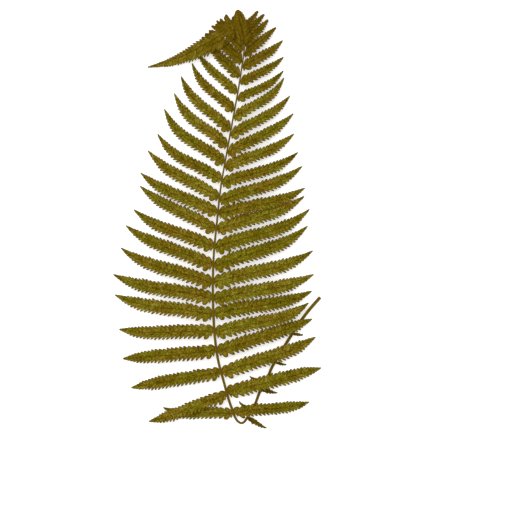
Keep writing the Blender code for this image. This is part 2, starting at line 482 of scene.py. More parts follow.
def stalk_frame(route, step):
    """Middle, direction and radius of the stalk at a step of its route, which may be between."""
    steps = np.arange(len(route))
    here = np.array([np.interp(step, steps, route[:, i]) for i in range(4)])
    ahead = np.array([np.interp(step + 0.5, steps, route[:, i]) for i in range(2)])
    behind = np.array([np.interp(step - 0.5, steps, route[:, i]) for i in range(2)])
    along = (ahead - behind) / np.linalg.norm(ahead - behind)
    return here[:3], along, here[3]


def distances(route):
    """Distance along the route from the cut end, at each step."""
    gaps = np.linalg.norm(np.diff(route[:, :3], axis=0), axis=1)
    return np.concatenate(([0], np.cumsum(gaps)))


def step_at_height(route, height):
    """The step of the route where the rachis, above the fold, reaches a height on Y."""
    first = FOLD_INDEX * STEPS_PER_STRETCH
    last = (CURL_INDEX + 1) * STEPS_PER_STRETCH
    return float(np.interp(height, route[first:last, 1], np.arange(first, last)))


def step_at_distance(route, distance):
    """The step of the route at a distance along the stalk from its cut end."""
    return float(np.interp(distance, distances(route), np.arange(len(route))))


def half_width_at(leaf, share):
    """Half the blade's width: even along the leaflet, then a taper to a blunt point.

    With t the share left divided by the taper's share, it is the tip's half width plus the rest
    of the full half width times t / (1 + t^4)^(1/4), which is level while t is large and falls
    as a straight line near the tip. A leaflet with no taper share gets the ordinary tip's slope.
    """
    taper_share = leaf.taper_share or leaf.half_width / (TIP_SLOPE * leaf.length)
    taper = np.maximum(1 - share, 0) / taper_share
    widest = leaf.half_width - leaf.blunt
    return leaf.blunt + widest * taper / (1 + taper**4) ** 0.25


def middle_layer(leaf, share, offset):
    """Points of a leaflet's middle layer, from its share along the length and its offset across.

    In plan it is the base, plus the share of the length along the leaflet, plus the offset
    across it, less a sag of sag * length * sin(pi * share^skew). Near the base, lines across are
    sheared to run along the stalk. The height goes from the stalk's to the tip's with the square
    of the share, plus an arch of arch * length * sin(pi * share), less the offset times sin(roll).
    """
    middle, along, radius = leaf.root
    outward = np.array((leaf.side * math.cos(leaf.lean), math.sin(leaf.lean)))
    upward = np.array((-leaf.side * math.sin(leaf.lean), math.cos(leaf.lean)))
    away = outward - along * np.dot(outward, along)
    away = away / np.linalg.norm(away)
    base = middle[:2] + away * (radius + STALK_CLEARANCE)
    shear = np.dot(along, outward) / np.dot(along, upward)
    shear = shear * np.maximum(0, 1 - share / BASE_SHEAR_SHARE)
    skew = LOW_SAG_SKEW + (HIGH_SAG_SKEW - LOW_SAG_SKEW) * (middle[1] / FROND_LENGTH + 0.5)
    sag = leaf.sag * leaf.length * np.sin(np.pi * np.clip(share, 0, 1) ** skew)
    reach = leaf.length * share + shear * offset
    rise = offset - sag
    height = middle[2] + (leaf.tip_height - middle[2]) * share**2
    height = height + leaf.arch * leaf.length * np.sin(np.pi * share) - offset * math.sin(leaf.roll)
    return np.stack(
        (
            base[0] + outward[0] * reach + upward[0] * rise,
            base[1] + outward[1] * reach + upward[1] * rise,
            height,
        ),
        axis=-1,
    )


def layer_normal(leaf, share, offset):
    """Unit vector out of the upper face, from small steps along and across the middle layer."""
    step = SMALL_STEP / leaf.length
    ahead = middle_layer(leaf, share + step, offset) - middle_layer(leaf, share - step, offset)
    aside = middle_layer(leaf, share, offset + SMALL_STEP)
    aside = aside - middle_layer(leaf, share, offset - SMALL_STEP)
    normal = np.cross(ahead, aside) * leaf.side
    return normal / np.linalg.norm(normal, axis=-1, keepdims=True)


def leaflet_rows(leaf):
    """Share of the length and lobe number where each row of points starts on the midrib.

    Rows are even steps of lobe number. The share solves number / lobes = (s + c s^2) / (1 + c), so
    lobes get closer together towards the tip. The first rows are the petiole, back to the stalk's
    middle.
    """
    number = np.arange(leaf.lobes * ROWS_PER_LOBE + 1) / ROWS_PER_LOBE
    crowding = leaf.crowding
    share = np.sqrt(1 + 4 * crowding * (1 + crowding) * number / leaf.lobes) - 1
    share = share / (2 * crowding)
    petiole = np.linspace(-1, 0, PETIOLE_ROWS, endpoint=False)
    petiole = petiole * (leaf.root[2] + STALK_CLEARANCE) / leaf.length
    return np.concatenate((petiole, share)), np.concatenate((np.zeros(PETIOLE_ROWS), number))


def swept_reach(leaf, share, sweep):
    """Offset where a line that leans forward from the midrib meets the leaflet's smooth outline.

    It repeats offset = half width at (share + sweep * offset / length), which settles at once.
    """
    reach = half_width_at(leaf, share)
    for _ in range(3):
        reach = half_width_at(leaf, share + sweep * reach / leaf.length)
    return reach


def lobed_reach(leaf, reach, share, number, notch, dice):
    """The smooth reach with lobes cut into it.

    With p from 0 to 1 across a lobe, the distance from the notch is d = 1 - |2 p^c - 1|, so that
    a lobe is fullest a little forward of its middle. The edge rises from the notch as
    1 - (1 - d / spread)^curve, clipped. The notches get shallower towards the tip, and each
    lobe's size varies a little.
    """
    from_notch = 1 - np.abs(2 * np.mod(number, 1) ** LOBE_LEAN - 1)
    rounded = 1 - np.clip(1 - from_notch / NOTCH_SPREAD, 0, 1) ** NOTCH_CURVE
    depth = leaf.notch * notch * (NOTCH_AT_BASE - NOTCH_FADING * share)
    depth = depth * (1 - NOTCH_LOSS_AT_TIP * smooth_step(share, *NOTCH_LOSS_OVER))
    size = LOBE_OVERREACH * (1 + LOBE_VARIATION * dice[np.floor(number).astype(int)])
    lobed = reach * size * (1 - depth * (1 - rounded))
    to_end = (1 - share) * leaf.length
    return lobed * np.sqrt(np.clip(to_end / (TIP_ROUNDING * leaf.blunt), TIP_END_SHARE, 1))


def opened_reach(leaf, reach, share, opens_over):
    """The reach with the narrow petiole opening out into the first lobe.

    With d the distance out from the middle of the stalk's side, the opened share is
    1 - exp(-(d / opens_over)^2), from 0 inside the stalk.
    """
    out = np.maximum(share * leaf.length + 0.5 * leaf.root[2] + STALK_CLEARANCE, 0)
    opened = 1 - np.exp(-((out / opens_over) ** 2))
    return PETIOLE_HALF_WIDTH + (reach - PETIOLE_HALF_WIDTH) * opened


def leaflet_relief(shape, part, across, offset, share):
    """Height of the leaflet's faces above its smooth middle layer.

    Each lobe is a dome, 1 - (2p - 1)^2 across it, tilted so that its forward side lies over the
    next one's rear side. Creases run in from the notches, a groove with a low ridge on each side
    runs along the midrib, a fine groove runs out along each lobe, and the edges bend down.
    """
    out = np.abs(across)
    blade = smooth_step(out, *RELIEF_OUT) * smooth_step(share, *RELIEF_START)
    blade = blade * (1 - smooth_step(share, *RELIEF_END))
    dome = shape.dome * (1 - (2 * part - 1) ** 2) * blade
    tilt = shape.shingle * (part - 0.5) * blade
    crease = shape.crease * bell(0.5 - np.abs(part - 0.5), 0, CREASE_WIDTH) * blade
    vein = VEIN_SHARE * shape.dome * bell(part, 0.5, CREASE_WIDTH) * blade * (1 - out)
    groove = shape.groove * bell(offset, 0, MIDRIB_WIDTH)
    ridges = MIDRIB_RIDGE_SHARE * shape.groove * bell(np.abs(offset), MIDRIB_RIDGE_ASIDE, MIDRIB_WIDTH)
    return dome + tilt - crease - vein - (groove - ridges) - shape.curl * out**3


def leaflet_layers(leaf, shape):
    """Upper face, lower face and pattern coordinates of a leaflet, each as rows by columns by 3.

    The pattern coordinates are lobe number, place across from -1 to 1, and share of the length.
    Where the lower face would sink into the ground, both faces are lifted by that much.
    """
    share, number = leaflet_rows(leaf)
    sweep = leaf.sweep * shape.sweep * smooth_step(share, 0, SWEEP_STARTS_OVER)
    reach = swept_reach(leaf, share, sweep)
    dice = np.random.default_rng(leaf.seed).uniform(-1, 1, (2, leaf.lobes + 2))
    narrowing = UPPER_NARROWING * (1 - smooth_step(share, 0, UPPER_NARROW_END))
    upper = reach * (1 - narrowing + leaf.flare * bell(share, 0, UPPER_NARROW_END))
    upper = lobed_reach(leaf, upper, share, number, shape.upper_notch * leaf.upper_cut, dice[0])
    upper = opened_reach(leaf, upper, share, UPPER_OPENS_OVER)
    fullness = LOWER_FULLNESS * (1 - smooth_step(share, 0, LOWER_FULL_END))
    lower = reach * leaf.lower_breadth * (1 + fullness)
    lower = lobed_reach(leaf, lower, share, number + 0.5, shape.lower_notch, dice[1])
    lower = opened_reach(leaf, lower, share, LOWER_OPENS_OVER)

    across = np.concatenate((-ACROSS[:0:-1], ACROSS))
    offset = across * np.where(across > 0, upper[:, None], lower[:, None])
    along = share[:, None] + sweep[:, None] * np.abs(offset) / leaf.length
    part = np.mod(number[:, None] + 0.5 * (across < 0), 1)
    relief = leaflet_relief(shape, part, across, offset, share[:, None])
    thickness = shape.thickness * (1 - EDGE_THINNING * np.abs(across) ** 3)
    rib = shape.thickness * bell(offset, 0, MIDRIB_WIDTH)
    middle = middle_layer(leaf, along, offset)
    normal = layer_normal(leaf, along, offset)
    top = middle + normal * (relief + thickness / 2)[..., None]
    bottom = middle + normal * (relief - thickness / 2 - rib)[..., None]
    sunk = np.minimum(bottom[..., 2:] - GROUND_CLEARANCE, 0)
    top[..., 2:] -= sunk
    bottom[..., 2:] -= sunk
    pattern = np.stack(np.broadcast_arrays(number[:, None], across, share[:, None]), axis=-1)
    return top, bottom, pattern


# ---------------------------------------------------------------- meshes


def closed_sheet(top, bottom):
    """Points and quads of a sheet closed round its upper and lower faces.

    Each row becomes a ring: the upper points one way, then the lower points back. Quads join
    neighbouring rings, and a strip of quads closes the first ring and the last.
    """
    rows, columns = top.shape[:2]
    ring = np.concatenate((top, bottom[:, ::-1]), axis=1)
    index = np.arange(rows * 2 * columns).reshape(rows, 2 * columns)
    onward = np.roll(index, -1, axis=1)
    sides = np.stack((index[:-1], index[1:], onward[1:], onward[:-1]), axis=-1).reshape(-1, 4)
    above = index[:, :columns]
    below = index[:, : columns - 1 : -1]
    strip = np.stack((above[:, :-1], above[:, 1:], below[:, 1:], below[:, :-1]), axis=-1)
    return ring.reshape(-1, 3), np.concatenate((sides, strip[0], strip[-1][:, ::-1]))


def sheet_map(rows, columns):
    """Flat map of a closed sheet's quads, as one u, v pair for each corner.

    The rings are cut into two bands, one above the other, so that the map is about as fine along
    as it is across. The end strips get a narrow column of their own beside them.
    """
    around = 2 * columns
    row, column = np.meshgrid(np.arange(rows - 1), np.arange(around), indexing="ij")
    corner_row = row[..., None] + np.array((0, 1, 1, 0))
    corner_column = column[..., None] + np.array((0, 0, 1, 1))
    half = (rows + 1) // 2
    band = (row >= half)[..., None]
    u = MAP_MARGIN + BAND_LENGTH * (corner_row - band * half) / half
    v = MAP_MARGIN + BAND_HEIGHT * corner_column / around + 0.5 * band
    sides = np.stack((u, v), axis=-1).reshape(-1, 2)
    step = np.arange(columns - 1)[:, None]
    strip_u = STRIP_PLACE + STRIP_WIDTH * np.broadcast_to((0, 0, 1, 1), (columns - 1, 4))
    strip_v = 2 * MAP_MARGIN + STRIP_HEIGHT * (step + np.array((0, 1, 1, 0))) / columns
    first = np.stack((strip_u, strip_v), axis=-1)
    last = np.stack((strip_u, strip_v + 0.5), axis=-1)[:, ::-1]
    return np.concatenate((sides, first.reshape(-1, 2), last.reshape(-1, 2)))


def signed_volume(points, quads):
    """Volume inside the quads, positive where they face outwards."""
    a, b, c, d = (points[quads[:, i]] for i in range(4))
    first = np.einsum("ij,ij->i", a, np.cross(b, c))
    second = np.einsum("ij,ij->i", a, np.cross(c, d))
    return float((first + second).sum() / 6)


def add_piece(name, points, quads, corner_map, pattern, tone, material):
    """A smooth mesh piece with its pattern coordinates, tone and flat map."""
    if signed_volume(points, quads) < 0:
        quads = quads[:, ::-1]
        corner_map = corner_map.reshape(-1, 4, 2)[:, ::-1].reshape(-1, 2)
    mesh = bpy.data.meshes.new(name)
    mesh.from_pydata(points.tolist(), [], quads.tolist())
    flat = mesh.uv_layers.new(name="OFBake")
    flat.uv.foreach_set("vector", np.ascontiguousarray(corner_map, dtype=np.float32).ravel())
    for label, values in (("pattern", pattern), ("tone", np.broadcast_to(tone, points.shape))):
        layer = mesh.attributes.new(label, "FLOAT_VECTOR", "POINT")
        layer.data.foreach_set("vector", np.ascontiguousarray(values, dtype=np.float32).ravel())
    mesh.shade_smooth()
    mesh.materials.append(material)
    if mesh.validate():
        raise RuntimeError(f"{name} has faces that can't be right")
    piece = bpy.data.objects.new(name, mesh)
    bpy.context.scene.collection.objects.link(piece)
    return piece


def stand_for(piece, node):
    """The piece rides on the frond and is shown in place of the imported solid."""
    low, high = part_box(node)
    points = np.array([corner[:] for corner in piece.bound_box])
    middle = (np.array(low) + np.array(high)) / 2
    if np.abs(points.mean(axis=0) - middle).max() > STANDS_WITHIN:
        raise RuntimeError(f"{piece.name} doesn't lie where {node} is")
    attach(piece, "root")
    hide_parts(node)


def add_leaflet(leaf, shape, material):
    """One leaflet as a closed lobed sheet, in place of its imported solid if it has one."""
    top, bottom, pattern = leaflet_layers(leaf, shape)
    points, quads = closed_sheet(top, bottom)
    pattern = np.concatenate((pattern, pattern[:, ::-1]), axis=1).reshape(-1, 3)
    corner_map = sheet_map(*top.shape[:2])
    own_tone = np.random.default_rng(leaf.seed + 1000).uniform(0, 1)
    age = leaf.age + leaf.base_aging * (1 - smooth_step(pattern[:, 2], 0, BASE_AGING_REACH))
    tone = np.stack(np.broadcast_arrays(own_tone, age, 0), axis=-1)
    piece = add_piece(leaf.name, points, quads, corner_map, pattern, tone, material)
    if leaf.node:
        stand_for(piece, leaf.node)
    else:
        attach(piece, "root")
    return piece


# ---------------------------------------------------------------- leaflet lists


def default_half_width(length):
    """Half width of an ordinary leaflet of that length."""
    return 0.5 * (WIDTH_AT_NO_LENGTH + WIDTH_PER_LENGTH * length)


def change(height, heights):
    """How far a change up the blade has gone at a height, from 0 to 1."""
    return float(smooth_step(height, *heights))


def tip_taper(height, length):
    """The taper's share of the length, for blunter tips on the lowest and the broadest leaflets."""
    slope = TIP_SLOPE + LOW_TIP_SLOPE * (1 - change(height, LOW_TIPS_END))
    return default_half_width(length) / (slope * length)


def lobe_count(shape, length):
    """How many lobes stand along one edge of a leaflet of that length."""
    return max(FEWEST_LOBES, round(length / (shape.lobe_spacing + shape.lobe_growth * length)))


def free_tip_height(root, length, number):
    """Long leaflets droop to the ground, short ones less, and each tip lifts by its own amount."""
    lift = TIP_LIFT * (0.5 + 0.5 * math.sin(TIP_LIFT_TURN * number))
    return max(TIP_HEIGHT, root[0][2] - DROOP * length) + lift


def blade_leaflets(shape):
    """The leaflets in two rows on the rachis, each row numbered from the bottom."""
    route = stalk_route(STEPS_PER_STRETCH)
    for word, side, rows in (("right", 1, RIGHT_LEAFLETS), ("left", -1, LEFT_LEAFLETS)):
        for number, (height, lean, length, sag) in enumerate(rows, 1):
            root = stalk_frame(route, step_at_height(route, height * MM))
            tip_height = free_tip_height(root, length * MM, number)
            if (word, number) in PROPPED_TIPS:
                tip_height = PROPPED_TIPS[word, number] * MM
            breadth = 1 + EXTRA_BREADTH[word] * change(height, BROADENING)
            yield Leaflet(
                name=f"leaflet_{word}_{number:02d}",
                node=f"pinna_{word}_{number:02d}",
                root=root,
                side=side,
                lean=math.radians(lean),
                length=length * (MM + TIP_OVERRUN),
                sag=sag / 100,
                tip_height=tip_height,
                half_width=default_half_width(length * MM) * breadth,
                lobes=lobe_count(shape, length * MM),
                seed=100 * (side + 2) + number,
                age=change(height, AGING),
                taper_share=tip_taper(height, length * MM),
                arch=ARCH,
                roll=ROLL,
                blunt=TIP_HALF_WIDTH * (1 + change(height, BLUNTING)),
            )


def stalk_leaflets(shape):
    """The small leaflets on the folded stretch, flat on the ground under the blade."""
    route = stalk_route(STEPS_PER_STRETCH)
    for word, side, rows in (("right", 1, STALK_RIGHT_LEAFLETS), ("left", -1, STALK_LEFT_LEAFLETS)):
        for number, (distance, lean, length) in enumerate(rows, 1):
            yield Leaflet(
                name=f"stalk_leaflet_{word}_{number}",
                node=f"stipe_pinna_{word}_{number}",
                root=stalk_frame(route, step_at_distance(route, distance * MM)),
                side=side,
                lean=math.radians(lean),
                length=length * MM,
                sag=STALK_LEAFLET_BOW,
                tip_height=TIP_HEIGHT,
                half_width=default_half_width(length * MM),
                lobes=lobe_count(shape, length * MM),
                seed=500 + 10 * (side + 2) + number,
                age=STALK_LEAFLET_AGE,
            )


def across_direction(side, lean):
    """The direction square to a leaflet, for a base that is cut straight across."""
    return np.array((-side * math.sin(lean), math.cos(lean)))


def top_leaflet():
    """The broad leaflet that rises from the rachis over the curl and stands up beyond it."""
    route = stalk_route(STEPS_PER_STRETCH)
    middle = stalk_frame(route, step_at_height(route, TOP_LEAFLET_FROM))[0]
    middle = middle + np.array((0, 0, TOP_LEAFLET_LIFT))
    return Leaflet(
        name="leaflet_top",
        node="pinna_top",
        root=(middle, across_direction(1, TOP_LEAFLET_LEAN), 0),
        side=1,
        lean=TOP_LEAFLET_LEAN,
        length=0.0345,
        sag=0,
        tip_height=0.0105,
        half_width=0.0068,
        lobes=10,
        seed=601,
        age=1,
        taper_share=0.36,
        arch=0.09,
        notch=0.3,
        blunt=0.0024,
    )


def crown_leaflets():
    """The short leaflets crowded round the curl, each a little lower than the one before it."""
    for number, (x, y, side, lean, length, half_width) in enumerate(CROWN_LEAFLETS):
        turn = math.radians(lean)
        height = CROWN_HEIGHT - CROWN_STEP_DOWN * number
        yield Leaflet(
            name=f"crown_leaflet_{number + 1}",
            node="",
            root=(np.array((x * MM, y * MM, height)), across_direction(side, turn), 0),
            side=side,
            lean=turn,
            length=length * MM,
            sag=0,
            tip_height=height - CROWN_TIP_DROP,
            half_width=half_width * MM,
            lobes=6,
            seed=700 + number,
            age=0.9,
            taper_share=0.75,
            arch=0.02,
            notch=0.35,
            blunt=0.0009,
        )


def frond_tip():
    """The long pointed end of the blade, which hangs from the curl down to the left."""
    route = stalk_route(STEPS_PER_STRETCH)
    middle = route[-1, :3] + np.array(BLADE_TIP_SHIFT)
    along = np.array((math.sin(BLADE_TIP_LEAN), -math.cos(BLADE_TIP_LEAN)))
    return Leaflet(
        name="blade_tip",
        node="frond_tip",
        root=(middle, along, route[-1, 3]),
        side=-1,
        lean=-BLADE_TIP_LEAN,
        length=0.081,
        sag=0.05,
        tip_height=0.003,
        half_width=0.0082,
        lobes=25,
        seed=602,
        age=0.22,
        base_aging=0.75,
        taper_share=0.85,
        arch=0.015,
        flare=0.1,
        lower_breadth=1.55,
        crowding=0.3,
        sweep=1.5,
        notch=0.5,
        upper_cut=2.6,
    )


# ---------------------------------------------------------------- the stalk


def stalk_rings(route, shape, knees):
    """Rings of points along the stalk, as steps by sides by 3, and their pattern coordinates.

    A ring lies across the route. Its radius is the route's radius, less a channel along the upper
    side, plus fine ridges and a swelling at each knee.
    """
    middle = route[:, :3]
    tangent = np.gradient(middle, axis=0)
    tangent /= np.linalg.norm(tangent, axis=1, keepdims=True)
    aside = np.cross(tangent, (0, 0, 1))
    aside /= np.linalg.norm(aside, axis=1, keepdims=True)
    up = np.cross(aside, tangent)
    turn = np.linspace(0, 2 * np.pi, STALK_SIDES, endpoint=False)
    away = distances(route)
    swelling = bell(away[:, None], knees[None, :], KNEE_LENGTH).sum(axis=1)
    channel = bell(turn, np.pi / 2, CHANNEL_WIDTH)
    wander = RIDGE_WANDER * np.sin(away[:, None] * WANDER_PER_LENGTH)
    ridges = shape.ridge * np.cos(RIDGES * turn + wander)
    swollen = shape.knee * swelling[:, None] * (1 - channel)
    radius = route[:, 3:] * (1 - shape.groove * channel + ridges + swollen)
    ring = middle[:, None] + radius[..., None] * (
        np.cos(turn)[:, None] * aside[:, None] + np.sin(turn)[:, None] * up[:, None]
    )
    pattern = np.stack(np.broadcast_arrays(away[:, None], np.cos(turn), np.sin(turn)), axis=-1)
    return ring, pattern


def with_ends(ring, pattern):
    """Adds shrinking rings at both ends, so that the cut is a shallow dish with a pale middle."""
    parts, patterns = [ring], [pattern]
    for end, inward in ((0, ring[1] - ring[0]), (-1, ring[-2] - ring[-1])):
        centre = ring[end].mean(axis=0)
        inward = inward.mean(axis=0) / np.linalg.norm(inward.mean(axis=0))
        order = slice(None, None, -1) if end == 0 else slice(None)
        spokes = ring[end] - centre
        shrunk = [centre + spokes * size + inward * depth for size, depth in STALK_END_SHARES]
        faded = [pattern[end] * (1, size, size) for size, depth in STALK_END_SHARES]
        place = 0 if end == 0 else len(parts)
        parts.insert(place, np.array(shrunk)[order])
        patterns.insert(place, np.array(faded)[order])
    return np.concatenate(parts), np.concatenate(patterns)


def closed_tube(ring):
    """Points and quads of a tube, with its smallest end rings closed by strips of quads."""
    half = STALK_SIDES // 2
    return closed_sheet(ring[:, :half], ring[:, : half - 1 : -1])


# ---------------------------------------------------------------- materials


class Value:
    """A node's output. Each sum or product of it is one more maths node in the same tree."""

    def __init__(self, socket):
        self.socket = socket
        self.tree = socket.id_data

    def __add__(self, other):
        return maths("ADD", self, other)

    def __sub__(self, other):
        return maths("SUBTRACT", self, other)

    def __rsub__(self, other):
        return maths("SUBTRACT", other, self)

    def __mul__(self, other):
        return maths("MULTIPLY", self, other)

    def __truediv__(self, other):
        return maths("DIVIDE", self, other)

    def __abs__(self):
        return maths("ABSOLUTE", self)


def put(tree, kind, inputs=None, **attributes):
    """Adds a node. Each input is set to a plain value, or linked where it is given a Value."""
    node = tree.nodes.new(kind)
    for key, value in attributes.items():
        setattr(node, key, value)
    for key, value in (inputs or {}).items():
        if isinstance(value, Value):
            tree.links.new(value.socket, node.inputs[key])
        else:
            node.inputs[key].default_value = value
    return node


def link_all(values, sockets):
    """Links each named value to the socket of that name."""
    for label, value in values.items():
        value.tree.links.new(value.socket, sockets[label])


def maths(operation, *values, clamp=False):
    """The result of a maths node. At least one of the values is a Value."""
    tree = next(value.tree for value in values if isinstance(value, Value))
    node = put(tree, "ShaderNodeMath", dict(enumerate(values)), operation=operation, use_clamp=clamp)
    return Value(node.outputs[0])


def rise(value, low, high):
    """0 up to low, 1 from high, and a smooth rise between. With low above high it falls instead."""
    inputs = {"Value": value, "From Min": min(low, high), "From Max": max(low, high)}
    inputs["To Min"], inputs["To Max"] = (0, 1) if low < high else (1, 0)
    node = put(value.tree, "ShaderNodeMapRange", inputs, interpolation_type="SMOOTHSTEP")
    return Value(node.outputs["Result"])


def joined(x, y, z):
    """A vector of three values."""
    return Value(put(x.tree, "ShaderNodeCombineXYZ", {0: x, 1: y, 2: z}).outputs[0])


def mixed(share, first, second):
    """Colour mixed from first to second by a share."""
    colours = [colour if isinstance(colour, Value) else (*colour, 1) for colour in (first, second)]
    inputs = {0: share, 6: colours[0], 7: colours[1]}
    return Value(put(share.tree, "ShaderNodeMix", inputs, data_type="RGBA").outputs[2])


def shaded(colour, brightness, saturation=1):
    """Colour made brighter or darker, and more or less grey."""
    inputs = {"Color": colour, "Value": brightness, "Saturation": saturation}
    return Value(put(colour.tree, "ShaderNodeHueSaturation", inputs).outputs["Color"])


def bumped(height, strength, distance):
    """The surface's direction with small bumps of that height."""
    inputs = {"Height": height, "Strength": strength, "Distance": distance}
    return Value(put(height.tree, "ShaderNodeBump", inputs).outputs["Normal"])


def noise(vector, scale, detail=2.0, distortion=0.0):
    """A noise value, about 0.5 on average."""
    inputs = {"Vector": vector, "Scale": scale, "Detail": detail, "Distortion": distortion}
    return Value(put(vector.tree, "ShaderNodeTexNoise", inputs).outputs["Fac"])


def place_in_space(tree):
    """The place of a point on the piece."""
    return Value(put(tree, "ShaderNodeTexCoord").outputs["Object"])


def read_attribute(tree, name):
    """The three numbers of a point attribute."""
    source = Value(put(tree, "ShaderNodeAttribute", attribute_name=name).outputs["Vector"])
    return [Value(socket) for socket in put(tree, "ShaderNodeSeparateXYZ", {0: source}).outputs]


def masks_of(tree, group):
    """The outputs of a node group by name."""
    node = put(tree, "ShaderNodeGroup", node_tree=group)
    return {socket.name: Value(socket) for socket in node.outputs}


def new_group(name, inputs, outputs):
    """An empty shader node group with float inputs and their defaults, and float outputs."""
    group = bpy.data.node_groups.new(name, "ShaderNodeTree")
    for label, default in inputs.items():
        socket = group.interface.new_socket(label, in_out="INPUT", socket_type="NodeSocketFloat")
        socket.default_value = default
    for label in outputs:
        group.interface.new_socket(label, in_out="OUTPUT", socket_type="NodeSocketFloat")
    sources = put(group, "NodeGroupInput").outputs
    values = [Value(sources[label]) for label in inputs]
    return group, values, put(group, "NodeGroupOutput").inputs


def new_material(name, specular):
    """A material that shines that much, with its node tree and its shader's inputs."""
    material = bpy.data.materials.new(name)
    material.use_nodes = True
    inputs = material.node_tree.nodes["Principled BSDF"].inputs
    inputs["Specular IOR Level"].default_value = specular
    return material, material.node_tree, inputs


def lobe_group():
    """Masks that follow a leaflet's lobes: creases, veins, midrib, margin, tip, wrinkles and tone.

    A lobe's place p runs from 0 at one notch to 1 at the next. Creases are where p is near 0 or 1,
    the vein is where it is near a half, and fine veins run forward from it as slanting stripes.
    """
    if "bracken lobes" in bpy.data.node_groups:
        return bpy.data.node_groups["bracken lobes"]
    tree, (crease_width, vein_width, fine_vein_count), results = new_group(
        "bracken lobes",
        {"Crease Width": 0.13, "Vein Width": 0.07, "Fine Vein Count": 8},
        ("Crease", "Vein", "Fine Veins", "Midrib", "Margin", "Tip", "Wrinkles", "Lobe Tone"),
    )
    number, across, share = read_attribute(tree, "pattern")
    own, _, _ = read_attribute(tree, "tone")
    lower = maths("LESS_THAN", across, 0)
    lobe = number + lower * 0.5
    from_middle = abs(maths("FRACT", lobe) - 0.5)
    out = abs(across)
    blade = rise(out, 0.1, 0.35) * rise(share, 0.95, 0.75)
    # The crease mask is darkest where two lobes meet; the leaf colour uses it for painted shade.
    crease = maths("SUBTRACT", 1, (0.5 - from_middle) / crease_width, clamp=True)
    vein = maths("SUBTRACT", 1, from_middle / vein_width, clamp=True)
    stripes = maths("SINE", (out - from_middle) * fine_vein_count * (2 * math.pi))
    wrinkles = noise(joined(across * 5, share * 1.5, own * 40), 1.3, 3)
    spot = joined(maths("FLOOR", lobe), lower, own)
    masks = {
        "Crease": crease * blade,
        "Vein": vein * blade * rise(out, 0.95, 0.7),
        "Fine Veins": rise(stripes, 0.3, 1) * blade,
        "Midrib": rise(out, 0.1, 0.02),
        "Margin": rise(out, 0.76, 1),
        "Tip": rise(share, 0.8, 1),
        "Wrinkles": rise(wrinkles, 0.5, 0.66),
        "Lobe Tone": Value(put(tree, "ShaderNodeTexWhiteNoise", {"Vector": spot}).outputs["Value"]),
    }
    link_all(masks, results)
    return tree


def mottle_group():
    """Dry-leaf mottling from the place in space: broad patches, blots, rust spots and specks."""
    if "bracken mottle" in bpy.data.node_groups:
        return bpy.data.node_groups["bracken mottle"]
    tree, (patch_scale, blot_scale, speck_scale), results = new_group(
        "bracken mottle",
        {"Patch Scale": 34, "Blot Scale": 170, "Speck Scale": 780},
        ("Patches", "Blots", "Rust Spots", "Specks"),
    )
    place = place_in_space(tree)
    shift = put(tree, "ShaderNodeVectorMath", {0: place, 1: (1, 2, 3)}, operation="ADD")
    masks = {
        "Patches": rise(noise(place, patch_scale, 3, 0.6), 0.36, 0.64),
        "Blots": rise(noise(place, blot_scale, 3, 0.8), 0.38, 0.66),
        "Rust Spots": rise(noise(Value(shift.outputs[0]), blot_scale, 2, 0.5), 0.63, 0.74),
        "Specks": noise(place, speck_scale, 4),
    }
    link_all(masks, results)
    return tree


def leaf_material(name, colours, age_shift):
    """Dry leaf blade: olive with greener and browner patches, lobe by lobe tones and rusty margins."""
    if name in bpy.data.materials:
        return bpy.data.materials[name]
    material, tree, shader = new_material(name, 0.01)
    lobes = masks_of(tree, lobe_group())
    mottle = masks_of(tree, mottle_group())
    own, age, _ = read_attribute(tree, "tone")

    fresh = maths("MAXIMUM", mottle["Patches"], lobes["Tip"] * 0.8) * rise(age, 1.1, 0.3)
    older = maths("ADD", age * 0.75 + mottle["Blots"] * 0.55, age_shift, clamp=True)
    colour = mixed(older, mixed(fresh, colours.olive, colours.green), colours.brown)
    speck = (mottle["Specks"] - 0.5) * (age * -2.8 + 4.4)
    bright = (lobes["Lobe Tone"] * 0.3 + 0.83) * (mottle["Blots"] * -0.26 + 1.13)
    bright = bright * (speck + 1) * (own * 0.2 + 0.9)
    colour = shaded(colour, bright, bright * -0.11 + 1.11)
    dry = maths("MAXIMUM", lobes["Margin"], lobes["Tip"] * age) * (mottle["Blots"] * 0.6 + 0.1)
    for mask, tint in (
        (lobes["Fine Veins"] * 0.26, colours.vein),
        (lobes["Vein"] * 0.32, colours.vein),
        # Painted shade: the creases between lobes are darkened with the dark colour.
        (lobes["Crease"] * 0.25, colours.dark),
        (lobes["Midrib"] * 0.6, colours.dark),
        (lobes["Margin"] * 0.5, colours.dark),
        (lobes["Wrinkles"] * (age * 0.9), colours.dark),
        (dry, colours.rust),
        (mottle["Rust Spots"] * (age * -0.5 + 0.6), colours.rust),
    ):
        colour = mixed(mask, colour, tint)

    height = lobes["Fine Veins"] * 0.5 + mottle["Specks"] - lobes["Crease"] * 0.8
    finish = {
        "Base Color": colour,
        "Roughness": mottle["Specks"] * 0.3 + 0.5,
        "Normal": bumped(height, 0.5, 0.0002),
    }
    link_all(finish, shader)
    return material


def stalk_material(colours):
    """Dry stalk: orange-brown with long streaks, a darker channel, and pale pith at the cut."""
    material, tree, shader = new_material("bracken stalk", 0.03)
    mottle = masks_of(tree, mottle_group())
    distance, aside, up = read_attribute(tree, "pattern")
    streaks = noise(joined(distance * 40, aside * 4, up * 4), 1.6, 4, 0.3)
    dark = maths("ADD", rise(streaks, 0.42, 0.7) * 0.6, rise(up, 0.8, 1), clamp=True)
    dark = dark * (mottle["Blots"] * 0.4 + 0.5)
    colour = mixed(dark, colours.stalk, colours.stalk_dark)
    colour = shaded(colour, mottle["Specks"] * 0.6 + 0.72)
    from_axis = maths("SQRT", aside * aside + up * up)
    finish = {
        "Base Color": mixed(rise(from_axis, 0.9, 0.6), colour, colours.pith),
        "Roughness": streaks * 0.3 + 0.4,
        "Normal": bumped(streaks, 0.4, 0.0003),
    }
    link_all(finish, shader)
    return material


